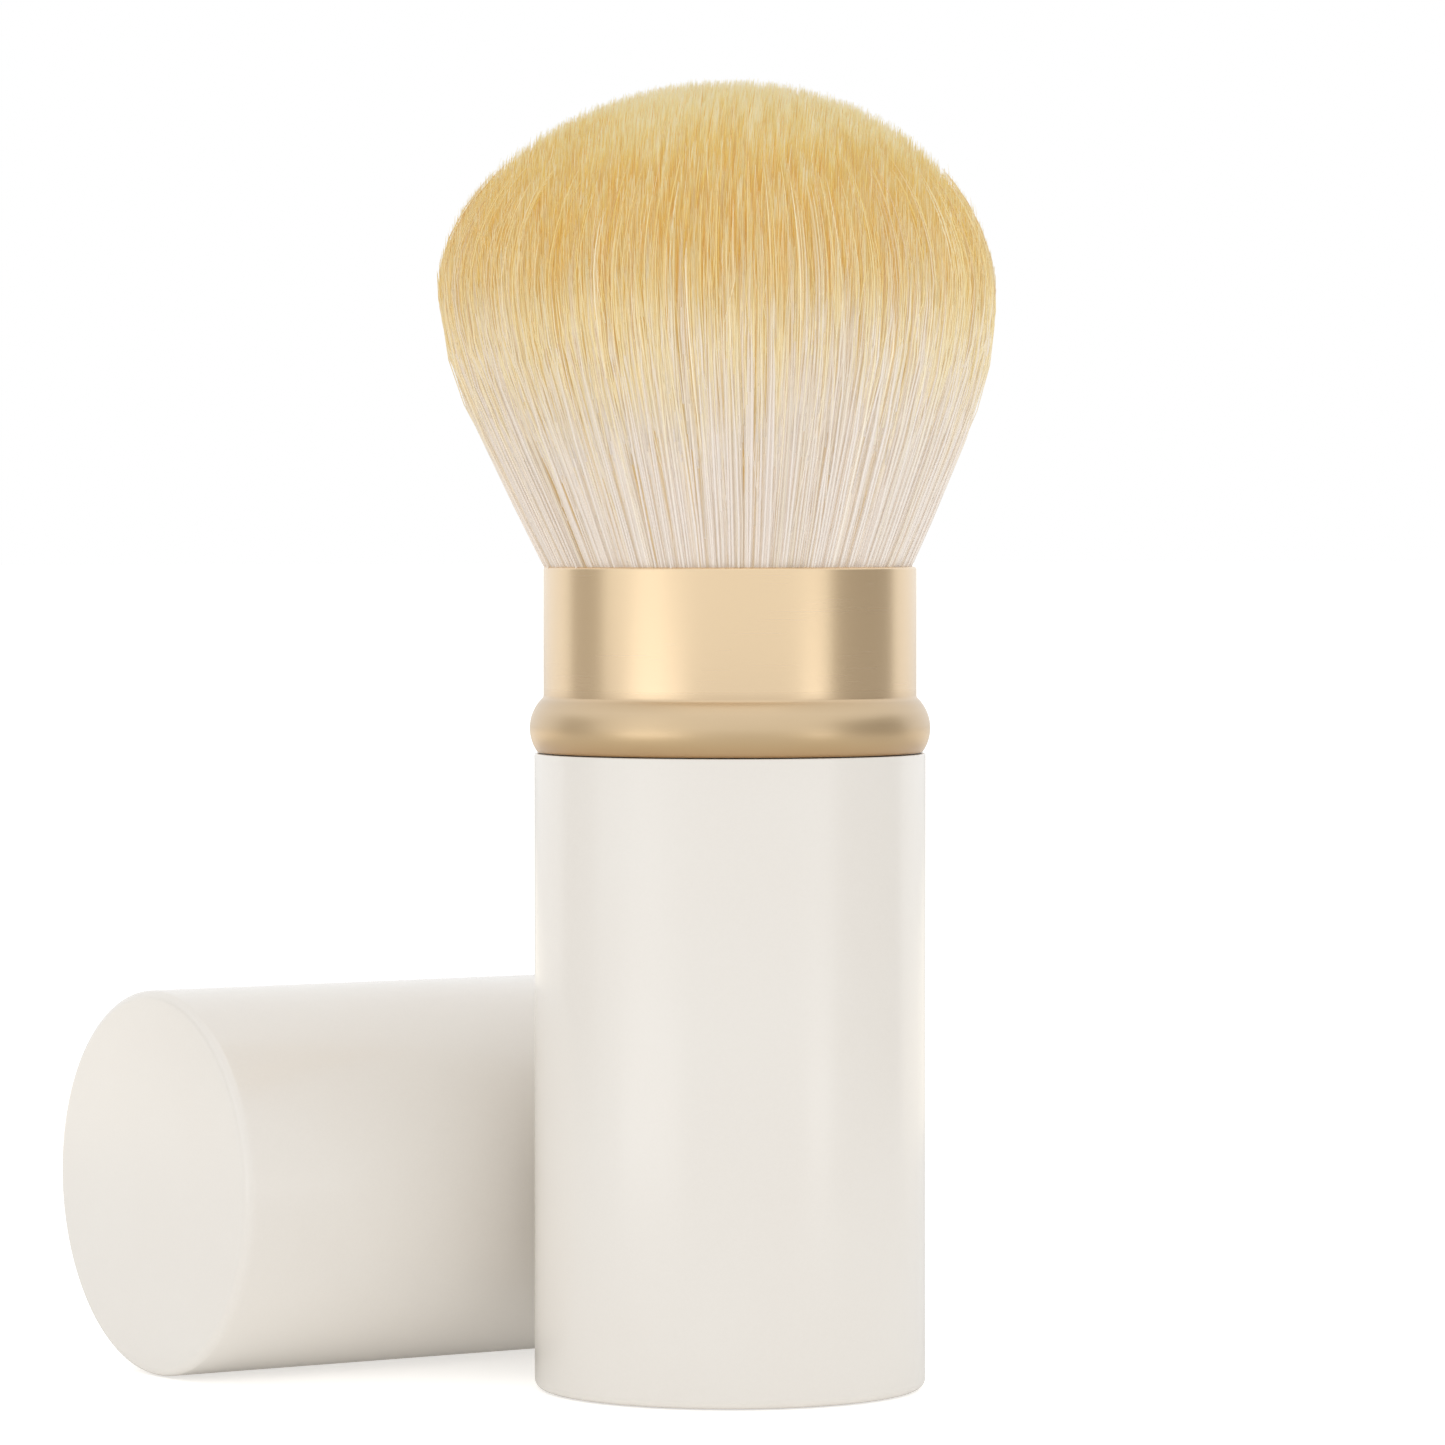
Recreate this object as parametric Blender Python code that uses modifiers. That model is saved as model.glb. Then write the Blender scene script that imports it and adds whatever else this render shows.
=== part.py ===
# Retractable makeup brush: a powder tuft that twists up out of an enamelled handle, drawn right
# out, with its cap lying beside it. Metres, +Z up, origin at the middle of the handle's flat foot.
import math
import random

import bmesh
import bpy
from mathutils import Matrix, Vector

# Case: handle and cap are tubes of one radius
CASE_RADIUS = 0.0170
CASE_WALL = 0.0005
CASE_EDGE_ROUND = 0.0008
HANDLE_LENGTH = 0.0552
HANDLE_FLOOR = 0.0006
CAP_LENGTH = 0.0548
CAP_END = 0.0006

# Clearances
SEAT_GAP = 0.0003
RUN_GAP = 0.00015

# Collar: a bead that the cap butts against, and the neck that the cap pushes onto
BEAD_PROUD = 0.0004
BEAD_BELLY_ROUND = 0.0036
BEAD_BELLY_RISE = 0.0019
CREASE_ROUND = 0.0004
COLLAR_HEIGHT = 0.0159
COLLAR_SHEET = 0.0005
COLLAR_RIM_ROUND = 0.00025
COLLAR_LEDGE = 0.0005

# Twist-up tubes
SPIRAL_WALL = 0.0011
GROOVE_DEPTH = 0.00075
SPIRAL_TOP_SETBACK = 0.0004
GUIDE_WALL = 0.0011
GUIDE_FOOT_CLEARANCE = 0.0005
PIN_RADIUS = 0.0011
PIN_CLEARANCE = 0.0002
PIN_RISE = 0.0024
PIN_DROP = 0.0027
CARRIER_PARK = 0.0017
TWIST = math.radians(330)

# Rings between the tubes
RING_THICKNESS = 0.0007
RING_DEPTH = 0.0005
RING_REACH = 0.0006
RING_SPLIT = 0.0030
RING_RISE = 0.0005
DRAG_SECTION = 0.0009
DRAG_DEPTH = 0.00055
DRAG_DROP = 0.0011

# Foot of the handle
PLUG_HEIGHT = 0.0038
PLUG_WALL = 0.0011
PLUG_RECESS = 0.0006
PLUG_SKIRT = 0.00485
WEIGHT_THICKNESS = 0.0022
WEIGHT_EDGE = 0.0003

# Carrier, ferrule and tuft
CARRIER_FLOOR = 0.0012
CARRIER_EDGE = 0.0004
CARRIER_LIP_SETBACK = 0.0014
FERRULE_DEPTH = 0.0113
FERRULE_SHEET = 0.0004
FERRULE_EDGE = 0.0008
ROOT_DEPTH = 0.0012
ROOT_SLICE = 0.0012
RIM_CLEARANCE = 0.0002
FLANK_SLANT = math.radians(24.7)
TUFT_SPREAD = 0.0089
TUFT_WAIST_RISE = 0.0229
TUFT_RISE = 0.0423
STRAND_GAP = 0.00012
STRAND_TAPER = 0.0042
TIP_SCATTER = 0.0008

# Liner of the cap
LINER_WALL = 0.0008
LINER_STOP = 0.0004

# Where the cap lies
CAP_ASIDE = 0.0006
CAP_MOUTH_X = 0.0166

# Counts and modelling tolerances
ROUND_STEPS = 48
PIN_STEPS = 16
STRAND_RINGS = 8
PIN_COUNT = 2
STRAND_SEED = 7
OVERRUN = 0.0010
MERGE = 0.00001
SHARP_ANGLE = math.radians(32)

# Places along the axis, from the foot up
plug_bottom = HANDLE_FLOOR + SEAT_GAP
plug_top = plug_bottom + PLUG_HEIGHT
guide_bottom = plug_top + GUIDE_FOOT_CLEARANCE
ring_bottom = guide_bottom + RING_RISE
ring_top = ring_bottom + RING_THICKNESS
spiral_bottom = plug_top + SEAT_GAP
spiral_step = ring_top + SEAT_GAP
spiral_top = HANDLE_LENGTH - SPIRAL_TOP_SETBACK
collar_bottom = HANDLE_LENGTH + SEAT_GAP
ledge_top = collar_bottom + COLLAR_LEDGE
rim_top = collar_bottom + COLLAR_HEIGHT
drag_middle = spiral_top - DRAG_DROP
pin_height = drag_middle - PIN_DROP
carrier_bottom = pin_height - PIN_RISE
stroke = carrier_bottom - plug_top - CARRIER_PARK
ferrule_bottom = carrier_bottom + CARRIER_FLOOR + SEAT_GAP
ferrule_top = rim_top - FERRULE_DEPTH
carrier_top = ferrule_top - CARRIER_LIP_SETBACK
root_top = ferrule_top - ROOT_DEPTH
root_bottom = root_top - ROOT_SLICE
glue_top = root_bottom - SEAT_GAP
waist_height = rim_top + TUFT_WAIST_RISE
tuft_top = rim_top + TUFT_RISE

# Radii, from the case inwards
case_bore = CASE_RADIUS - CASE_WALL
spiral_radius = case_bore - RUN_GAP
spiral_bore = spiral_radius - SPIRAL_WALL
groove_radius = spiral_bore + GROOVE_DEPTH
guide_radius = spiral_bore - RUN_GAP
guide_bore = guide_radius - GUIDE_WALL
bead_radius = CASE_RADIUS + BEAD_PROUD
neck_radius = case_bore - SEAT_GAP
neck_bore = neck_radius - COLLAR_SHEET
guide_head_radius = neck_bore - RUN_GAP
ledge_bore = guide_radius + RUN_GAP
pin_reach = groove_radius - PIN_CLEARANCE
carrier_radius = guide_bore - SEAT_GAP
ring_seat_radius = guide_radius - RING_DEPTH
ring_radius = guide_radius + RING_REACH
drag_seat_radius = guide_radius - DRAG_DEPTH
tuft_rim_radius = neck_bore - RIM_CLEARANCE
tuft_radius = tuft_rim_radius + TUFT_SPREAD
flare = math.tan(FLANK_SLANT)
apex_height = rim_top - tuft_rim_radius / flare
guide_top = apex_height + (guide_bore - SEAT_GAP) / flare
ferrule_bore = (ferrule_top - apex_height) * flare + SEAT_GAP
ferrule_radius = ferrule_bore + FERRULE_SHEET
carrier_bore = ferrule_radius + SEAT_GAP
glue_radius = ferrule_bore - SEAT_GAP
pin_slot_half = PIN_RADIUS + PIN_CLEARANCE
helix_rate = stroke / TWIST
liner_radius = case_bore - SEAT_GAP
liner_bore = liner_radius - LINER_WALL
weight_radius = spiral_radius - PLUG_SKIRT - SEAT_GAP


def arc(center_r, center_z, radius, start, end, steps):
    """Points of an arc in the radius and height plane, from angle start to angle end in degrees."""
    points = []
    for i in range(steps + 1):
        angle = math.radians(start + (end - start) * i / steps)
        points.append((center_r + radius * math.cos(angle), center_z + radius * math.sin(angle)))
    return points


def finish_material(name, color, roughness, metallic=0.0):
    material = bpy.data.materials.new(name)
    material.use_nodes = True
    shader = material.node_tree.nodes["Principled BSDF"]
    shader.inputs["Base Color"].default_value = (*color, 1.0)
    shader.inputs["Roughness"].default_value = roughness
    shader.inputs["Metallic"].default_value = metallic
    material.diffuse_color = (*color, 1.0)
    return material


def new_object(name, mesh, collection, height=0.0, parent=None):
    """A piece at a height; under a parent, the height is measured from the parent."""
    piece = bpy.data.objects.new(name, mesh)
    piece.location.z = height
    piece.parent = parent
    collection.objects.link(piece)
    return piece


def above(parent, height):
    """A height above the foot, as measured from a parent empty on the axis."""
    return height - parent.matrix_world.translation.z


def turned(name, profile, collection, height=0.0, parent=None, closed=True):
    """Turn a profile of (radius, height) points about the Z axis; it runs down its outer side."""
    edges = [(i, i + 1) for i in range(len(profile) - 1)]
    if closed:
        edges.append((len(profile) - 1, 0))
    mesh = bpy.data.meshes.new(name)
    mesh.from_pydata([(r, 0.0, z) for r, z in profile], edges, [])
    piece = new_object(name, mesh, collection, height, parent)
    turn = piece.modifiers.new("turn", "SCREW")
    turn.steps = turn.render_steps = ROUND_STEPS
    turn.use_merge_vertices = True
    turn.merge_threshold = MERGE
    return piece


def combine(piece, tools, operation):
    for tool in tools:
        step = piece.modifiers.new(operation.lower(), "BOOLEAN")
        step.operation = operation
        step.object = tool


def settle(piece, material):
    """Keep the modelled result as the piece's own mesh, smooth with sharp corners."""
    bpy.context.view_layer.update()
    shaped = piece.evaluated_get(bpy.context.evaluated_depsgraph_get())
    mesh = bpy.data.meshes.new_from_object(shaped)
    mesh.name = piece.name
    piece.modifiers.clear()
    piece.data = mesh
    mesh.materials.clear()
    mesh.materials.append(material)
    mesh.shade_smooth()
    mesh.set_sharp_from_angle(angle=SHARP_ANGLE)
    return piece


def cutter(name, mesh, cutters, height=0.0):
    tool = new_object(name, mesh, cutters, height)
    tool.hide_render = True
    tool.display_type = "WIRE"
    return tool


def box_cutter(name, low, high, cutters):
    """A box between two corners."""
    mesh = bpy.data.meshes.new(name)
    bm = bmesh.new()
    size = Vector(high) - Vector(low)
    middle = (Vector(high) + Vector(low)) / 2
    bmesh.ops.create_cube(bm, size=1, matrix=Matrix.Translation(middle) @ Matrix.Diagonal((*size, 1)))
    bm.to_mesh(mesh)
    bm.free()
    return cutter(name, mesh, cutters)


def pin_mesh(name, radius, inner, outer, angle):
    """A round bar that points away from the axis at an angle, between two distances from it."""
    mesh = bpy.data.meshes.new(name)
    bm = bmesh.new()
    place = (
        Matrix.Rotation(angle, 4, "Z")
        @ Matrix.Translation(((inner + outer) / 2, 0, 0))
        @ Matrix.Rotation(math.pi / 2, 4, "Y")
    )
    bmesh.ops.create_cone(
        bm, cap_ends=True, segments=PIN_STEPS, radius1=radius, radius2=radius,
        depth=outer - inner, matrix=place,
    )
    bm.to_mesh(mesh)
    bm.free()
    return mesh


def groove_mesh(name, start_angle):
    """One helical groove of the spiral tube: it falls by the stroke while it turns by the twist."""
    margin = pin_slot_half / groove_radius
    half_height = pin_slot_half * math.hypot(1, helix_rate / groove_radius)
    inner = spiral_bore - OVERRUN
    top = pin_height + margin * helix_rate
    sweep = TWIST + 2 * margin
    mesh = bpy.data.meshes.new(name)
    bm = bmesh.new()
    corners = [
        (inner, top - half_height), (groove_radius, top - half_height),
        (groove_radius, top + half_height), (inner, top + half_height),
    ]
    face = bm.faces.new([bm.verts.new((r, 0, z)) for r, z in corners])
    bmesh.ops.rotate(bm, verts=bm.verts[:], matrix=Matrix.Rotation(start_angle - margin, 3, "Z"))
    steps = math.ceil(sweep / (2 * math.pi) * ROUND_STEPS)
    bmesh.ops.spin(
        bm, geom=[face, *face.edges, *face.verts], cent=(0, 0, 0), axis=(0, 0, 1),
        dvec=(0, 0, -sweep * helix_rate / steps), angle=sweep, steps=steps,
    )
    bmesh.ops.recalc_face_normals(bm, faces=bm.faces[:])
    bm.to_mesh(mesh)
    bm.free()
    return mesh


def cup_profile(radius, bore, floor, height, edge_round):
    """A cup with a flat floor: up the bore, over the rim and down the outside."""
    return [
        (0, floor), (bore, floor), (bore, height), (radius, height),
        *arc(radius - edge_round, edge_round, edge_round, 0, -90, 4), (0, 0),
    ]


def make_handle(parts, enamel, steel, resin):
    shell = turned(
        "handle_shell",
        cup_profile(CASE_RADIUS, case_bore, HANDLE_FLOOR, HANDLE_LENGTH, CASE_EDGE_ROUND),
        parts, closed=False,
    )
    pocket_radius = weight_radius + SEAT_GAP
    pocket_depth = WEIGHT_THICKNESS + SEAT_GAP
    plug_radius = spiral_radius
    plug = turned(
        "handle_plug",
        [
            (0, PLUG_HEIGHT - PLUG_RECESS), (plug_radius - PLUG_WALL, PLUG_HEIGHT - PLUG_RECESS),
            (plug_radius - PLUG_WALL, PLUG_HEIGHT), (plug_radius, PLUG_HEIGHT),
            (plug_radius, 0), (pocket_radius, 0), (pocket_radius, pocket_depth), (0, pocket_depth),
        ],
        parts, plug_bottom, closed=False,
    )
    weight = turned(
        "handle_weight",
        [
            (0, WEIGHT_THICKNESS), (weight_radius - WEIGHT_EDGE, WEIGHT_THICKNESS),
            (weight_radius, WEIGHT_THICKNESS - WEIGHT_EDGE), (weight_radius, WEIGHT_EDGE),
            (weight_radius - WEIGHT_EDGE, 0), (0, 0),
        ],
        parts, plug_bottom, closed=False,
    )
    settle(shell, enamel)
    settle(plug, resin)
    settle(weight, steel)


def make_spiral_tube(parts, cutters, resin):
    """The tube with helical grooves; its foot is bored wider for the ring that keeps the collar on."""
    foot_bore = ring_radius + RUN_GAP
    step_height = spiral_step - spiral_bottom
    length = spiral_top - spiral_bottom
    tube = turned(
        "spiral_tube",
        [
            (spiral_radius, length), (spiral_radius, 0), (foot_bore, 0),
            (foot_bore, step_height), (spiral_bore, step_height), (spiral_bore, length),
        ],
        parts, spiral_bottom,
    )
    grooves = [
        cutter(f"groove_{i}", groove_mesh(f"groove_{i}", i * 2 * math.pi / PIN_COUNT), cutters)
        for i in range(PIN_COUNT)
    ]
    combine(tube, grooves, "DIFFERENCE")
    settle(tube, resin)


def make_collar(parts, twist, gold):
    """Neck and bead drawn from one sheet, turned in below as a ledge that carries the guide tube."""
    belly_center = bead_radius - BEAD_BELLY_ROUND
    crease_center = neck_radius + CREASE_ROUND
    across = crease_center - belly_center
    reach = BEAD_BELLY_ROUND + CREASE_ROUND
    crease_height = BEAD_BELLY_RISE + math.sqrt(reach ** 2 - across ** 2)
    turn_angle = math.degrees(math.acos(across / reach))
    bottom_angle = -math.degrees(math.asin(BEAD_BELLY_RISE / BEAD_BELLY_ROUND))
    inner_belly = BEAD_BELLY_ROUND - COLLAR_SHEET
    inner_bottom_angle = -math.degrees(math.asin((BEAD_BELLY_RISE - COLLAR_LEDGE) / inner_belly))
    inner_top_angle = math.degrees(math.acos((neck_bore - belly_center) / inner_belly))
    rim = COLLAR_RIM_ROUND
    profile = [
        *arc(neck_radius - rim, COLLAR_HEIGHT - rim, rim, 90, 0, 3),
        *arc(crease_center, crease_height, CREASE_ROUND, 180, 180 + turn_angle, 3),
        *arc(belly_center, BEAD_BELLY_RISE, BEAD_BELLY_ROUND, turn_angle, bottom_angle, 8)[1:],
        (ledge_bore, 0),
        (ledge_bore, COLLAR_LEDGE),
        *arc(belly_center, BEAD_BELLY_RISE, inner_belly, inner_bottom_angle, inner_top_angle, 5),
        (neck_bore, COLLAR_HEIGHT),
    ]
    settle(turned("collar", profile, parts, above(twist, collar_bottom), twist), gold)


def make_guide_tube(parts, cutters, twist, resin):
    """The slotted tube: its head sits on the collar's ledge, its foot carries the split ring."""
    head_bottom = ledge_top + SEAT_GAP
    ring_low = ring_bottom - RUN_GAP
    ring_high = ring_top + RUN_GAP
    drag_half = DRAG_SECTION / 2 + RUN_GAP
    profile = [
        (guide_head_radius, guide_top), (guide_head_radius, head_bottom),
        (guide_radius, head_bottom),
        (guide_radius, drag_middle + drag_half), (drag_seat_radius, drag_middle + drag_half),
        (drag_seat_radius, drag_middle - drag_half), (guide_radius, drag_middle - drag_half),
        (guide_radius, ring_high), (ring_seat_radius, ring_high),
        (ring_seat_radius, ring_low), (guide_radius, ring_low),
        (guide_radius, guide_bottom), (guide_bore, guide_bottom), (guide_bore, guide_top),
    ]
    tube = turned("guide_tube", profile, parts, above(twist, 0), twist)
    slot_low = pin_height - stroke - pin_slot_half
    slot_high = pin_height + pin_slot_half
    reach = guide_radius + OVERRUN
    slot = box_cutter(
        "guide_slots", (-reach, -pin_slot_half, slot_low), (reach, pin_slot_half, slot_high), cutters
    )
    combine(tube, [slot], "DIFFERENCE")
    settle(tube, resin)


def make_rings(parts, cutters, twist, steel, rubber):
    ring_bore = ring_seat_radius + RUN_GAP
    ring = turned(
        "retaining_ring",
        [
            (ring_radius, RING_THICKNESS), (ring_radius, 0), (ring_bore, 0),
            (ring_bore, RING_THICKNESS),
        ],
        parts, above(twist, ring_bottom), twist,
    )
    split = box_cutter(
        "ring_split", (0, -RING_SPLIT / 2, 0),
        (ring_radius + OVERRUN, RING_SPLIT / 2, ring_top + OVERRUN), cutters,
    )
    combine(ring, [split], "DIFFERENCE")
    settle(ring, steel)
    drag_bore = drag_seat_radius + RUN_GAP / 2
    drag_radius = spiral_bore - RUN_GAP / 2
    half = DRAG_SECTION / 2
    corner = (drag_radius - drag_bore) / 3
    drag = turned(
        "drag_ring",
        [
            (drag_radius, half - corner), (drag_radius, corner - half), (drag_radius - corner, -half),
            (drag_bore, -half), (drag_bore, half), (drag_radius - corner, half),
        ],
        parts, above(twist, drag_middle), twist,
    )
    settle(drag, rubber)


def make_head(parts, cutters, slide, resin, aluminium, glue, hair):
    carrier = turned(
        "carrier",
        cup_profile(
            carrier_radius, carrier_bore, CARRIER_FLOOR, carrier_top - carrier_bottom, CARRIER_EDGE
        ),
        parts, above(slide, carrier_bottom), slide, closed=False,
    )
    pin_inner = (carrier_radius + carrier_bore) / 2
    pins = [
        cutter(
            f"pin_{i}",
            pin_mesh(f"pin_{i}", PIN_RADIUS, pin_inner, pin_reach, i * 2 * math.pi / PIN_COUNT),
            cutters, pin_height,
        )
        for i in range(PIN_COUNT)
    ]
    combine(carrier, pins, "UNION")
    settle(carrier, resin)
    ferrule = turned(
        "ferrule",
        cup_profile(
            ferrule_radius, ferrule_bore, FERRULE_SHEET, ferrule_top - ferrule_bottom, FERRULE_EDGE
        ),
        parts, above(slide, ferrule_bottom), slide, closed=False,
    )
    settle(ferrule, aluminium)
    glue_bottom = ferrule_bottom + FERRULE_SHEET + SEAT_GAP
    glue_height = glue_top - glue_bottom
    plug = turned(
        "glue_plug",
        [
            (0, glue_height), (glue_radius, glue_height), (glue_radius, FERRULE_EDGE),
            (glue_radius - FERRULE_EDGE, 0), (0, 0),
        ],
        parts, above(slide, glue_bottom), slide, closed=False,
    )
    settle(plug, glue)
    tuft = new_object("bristles", bristle_mesh(), parts, above(slide, 0), slide)
    settle(tuft, hair)


def dome_reach(direction):
    """How far along a ray from the apex the tuft's domed top lies."""
    center = waist_height - apex_height
    height = tuft_top - waist_height
    across = math.hypot(direction.x, direction.y)
    a = (across / tuft_radius) ** 2 + (direction.z / height) ** 2
    b = -direction.z * center / height ** 2
    c = (center / height) ** 2 - 1
    return (-b + math.sqrt(max(b * b - a * c, 0))) / a


def bristle_mesh():
    """Strands that fan out from a slice of the glued root, all on rays from one point, so that
    none crosses another: each grows from its own cell of the slice and ends at the dome."""
    apex = Vector((0, 0, apex_height))
    cell_radius = (root_top - apex_height) * flare
    mesh = bpy.data.meshes.new("bristles")
    bm = bmesh.new()
    bmesh.ops.create_circle(bm, cap_ends=True, cap_tris=True, segments=6, radius=cell_radius)
    bmesh.ops.subdivide_edges(bm, edges=bm.edges[:], cuts=STRAND_RINGS - 1, use_grid_fill=True)
    sector = math.pi / 3
    for vert in bm.verts:
        if vert.co.length > MERGE:
            angle = (math.atan2(vert.co.y, vert.co.x) + sector / 2) % sector - sector / 2
            vert.co *= math.cos(angle) / math.cos(sector / 2)
    bmesh.ops.translate(bm, verts=bm.verts[:], vec=(0, 0, root_top))
    cells = bm.faces[:]

    border = [edge for edge in bm.edges if edge.is_boundary]
    for radius, height in ((glue_radius, root_top), (glue_radius, root_bottom)):
        grown = bmesh.ops.extrude_edge_only(bm, edges=border)["geom"]
        border = [item for item in grown if isinstance(item, bmesh.types.BMEdge) and item.is_boundary]
        for vert in {vert for edge in border for vert in edge.verts}:
            vert.co.xy = vert.co.xy.normalized() * radius
            vert.co.z = height
    bmesh.ops.contextual_create(bm, geom=border)

    bmesh.ops.inset_individual(bm, faces=cells, thickness=STRAND_GAP, use_even_offset=True)
    strands = bmesh.ops.extrude_discrete_faces(bm, faces=cells)["faces"]
    scatter = random.Random(STRAND_SEED)
    for face in strands:
        middle = face.calc_center_median() - apex
        tip = dome_reach(middle) - scatter.random() * TIP_SCATTER / middle.length
        shoulder = tip - STRAND_TAPER / middle.length
        for vert in face.verts:
            vert.co = apex + (vert.co - apex) * shoulder
        point = bmesh.ops.poke(bm, faces=[face])["verts"][0]
        point.co = apex + middle * tip
    bmesh.ops.triangulate(bm, faces=bm.faces[:])
    bmesh.ops.recalc_face_normals(bm, faces=bm.faces[:])
    bm.to_mesh(mesh)
    bm.free()
    return mesh


def make_cap(parts, rest, enamel, resin):
    """Both pieces of the cap, modelled mouth down; the empty that carries them lays them over."""
    shell = turned(
        "cap_shell",
        [
            *[(r, CAP_LENGTH - z) for r, z in reversed(
                cup_profile(CASE_RADIUS, case_bore, CAP_END, CAP_LENGTH, CASE_EDGE_ROUND)
            )],
        ],
        parts, 0, rest, closed=False,
    )
    mouth_depth = COLLAR_HEIGHT - collar_bead_height() + LINER_STOP
    liner_end = CAP_LENGTH - CAP_END - SEAT_GAP
    length = liner_end - mouth_depth
    liner = turned(
        "cap_liner",
        [
            *[(r, length - z) for r, z in reversed(
                cup_profile(liner_radius, liner_bore, LINER_WALL, length, LINER_WALL)
            )],
        ],
        parts, mouth_depth, rest, closed=False,
    )
    settle(shell, enamel)
    settle(liner, resin)


def collar_bead_height():
    """Height at which the bead's crease ends on the neck and the cap's mouth stops."""
    across = neck_radius + CREASE_ROUND - (bead_radius - BEAD_BELLY_ROUND)
    return BEAD_BELLY_RISE + math.sqrt((BEAD_BELLY_ROUND + CREASE_ROUND) ** 2 - across ** 2)


def joint_empty(name, collection, location, parent=None):
    empty = bpy.data.objects.new(name, None)
    empty.empty_display_size = CASE_RADIUS
    empty.location = location
    empty.parent = parent
    collection.objects.link(empty)
    return empty


def main():
    for item in list(bpy.data.objects):
        bpy.data.objects.remove(item, do_unlink=True)
    parts = bpy.data.collections.new("retractable_makeup_brush")
    cutters = bpy.data.collections.new("cutters")
    for collection in (parts, cutters):
        bpy.context.scene.collection.children.link(collection)

    enamel = finish_material("pearl_enamel", (0.84, 0.80, 0.73), 0.28)
    gold = finish_material("champagne_metal", (0.76, 0.58, 0.36), 0.26, 1.0)
    aluminium = finish_material("aluminium", (0.80, 0.80, 0.81), 0.30, 1.0)
    steel = finish_material("steel", (0.55, 0.55, 0.56), 0.35, 1.0)
    resin = finish_material("ivory_resin", (0.82, 0.78, 0.70), 0.45)
    glue = finish_material("cured_glue", (0.60, 0.42, 0.20), 0.35)
    rubber = finish_material("silicone", (0.70, 0.70, 0.68), 0.55)
    hair = finish_material("golden_hair", (0.78, 0.56, 0.20), 0.60)

    twist = joint_empty("twist_axis", parts, (0, 0, collar_bottom))
    slide = joint_empty("slide_axis", parts, (0, 0, 0), twist)
    rest = joint_empty("cap_rest", parts, (CAP_MOUTH_X, 2 * CASE_RADIUS + CAP_ASIDE, CASE_RADIUS))
    rest.rotation_euler.y = -math.pi / 2
    bpy.context.view_layer.update()

    make_handle(parts, enamel, steel, resin)
    make_spiral_tube(parts, cutters, resin)
    make_collar(parts, twist, gold)
    make_guide_tube(parts, cutters, twist, resin)
    make_rings(parts, cutters, twist, steel, rubber)
    make_head(parts, cutters, slide, resin, aluminium, glue, hair)
    make_cap(parts, rest, enamel, resin)


main()
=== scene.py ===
import math

import bmesh
import bpy
import numpy as np
from mathutils import Matrix, Vector


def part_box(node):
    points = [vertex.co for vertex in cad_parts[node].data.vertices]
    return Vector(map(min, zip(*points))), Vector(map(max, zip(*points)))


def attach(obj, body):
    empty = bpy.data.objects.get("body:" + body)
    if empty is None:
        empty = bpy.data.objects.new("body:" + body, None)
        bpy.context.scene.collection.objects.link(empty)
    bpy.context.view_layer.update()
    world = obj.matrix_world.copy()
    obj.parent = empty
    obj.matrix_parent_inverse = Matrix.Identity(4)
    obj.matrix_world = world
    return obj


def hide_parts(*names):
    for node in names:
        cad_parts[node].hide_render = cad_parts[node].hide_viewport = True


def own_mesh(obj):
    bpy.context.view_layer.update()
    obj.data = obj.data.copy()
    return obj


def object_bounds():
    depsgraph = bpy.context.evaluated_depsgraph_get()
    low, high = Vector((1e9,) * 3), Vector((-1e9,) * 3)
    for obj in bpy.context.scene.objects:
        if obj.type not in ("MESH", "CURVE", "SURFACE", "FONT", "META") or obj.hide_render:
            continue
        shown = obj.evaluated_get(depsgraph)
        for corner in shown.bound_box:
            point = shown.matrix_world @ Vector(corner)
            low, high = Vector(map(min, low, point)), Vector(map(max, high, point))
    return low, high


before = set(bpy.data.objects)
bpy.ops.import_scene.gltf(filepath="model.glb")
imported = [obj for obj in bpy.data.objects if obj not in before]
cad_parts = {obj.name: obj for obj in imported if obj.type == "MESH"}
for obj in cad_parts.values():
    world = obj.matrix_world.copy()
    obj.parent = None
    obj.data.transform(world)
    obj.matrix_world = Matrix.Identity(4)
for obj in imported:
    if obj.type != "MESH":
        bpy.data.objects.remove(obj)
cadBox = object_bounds()
print("frame loaded:", len(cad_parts), "nodes")


# Shader nodes: a wire is one output of a node, and arithmetic on it adds Math nodes
class Wire:
    def __init__(self, nodes, socket):
        self.nodes = nodes
        self.socket = socket

    def __add__(self, other):
        return self.nodes.math("ADD", self, other)

    def __radd__(self, other):
        return self.nodes.math("ADD", other, self)

    def __sub__(self, other):
        return self.nodes.math("SUBTRACT", self, other)

    def __rsub__(self, other):
        return self.nodes.math("SUBTRACT", other, self)

    def __mul__(self, other):
        return self.nodes.math("MULTIPLY", self, other)

    def __rmul__(self, other):
        return self.nodes.math("MULTIPLY", other, self)

    def __truediv__(self, other):
        return self.nodes.math("DIVIDE", self, other)

    def __rtruediv__(self, other):
        return self.nodes.math("DIVIDE", other, self)


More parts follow.
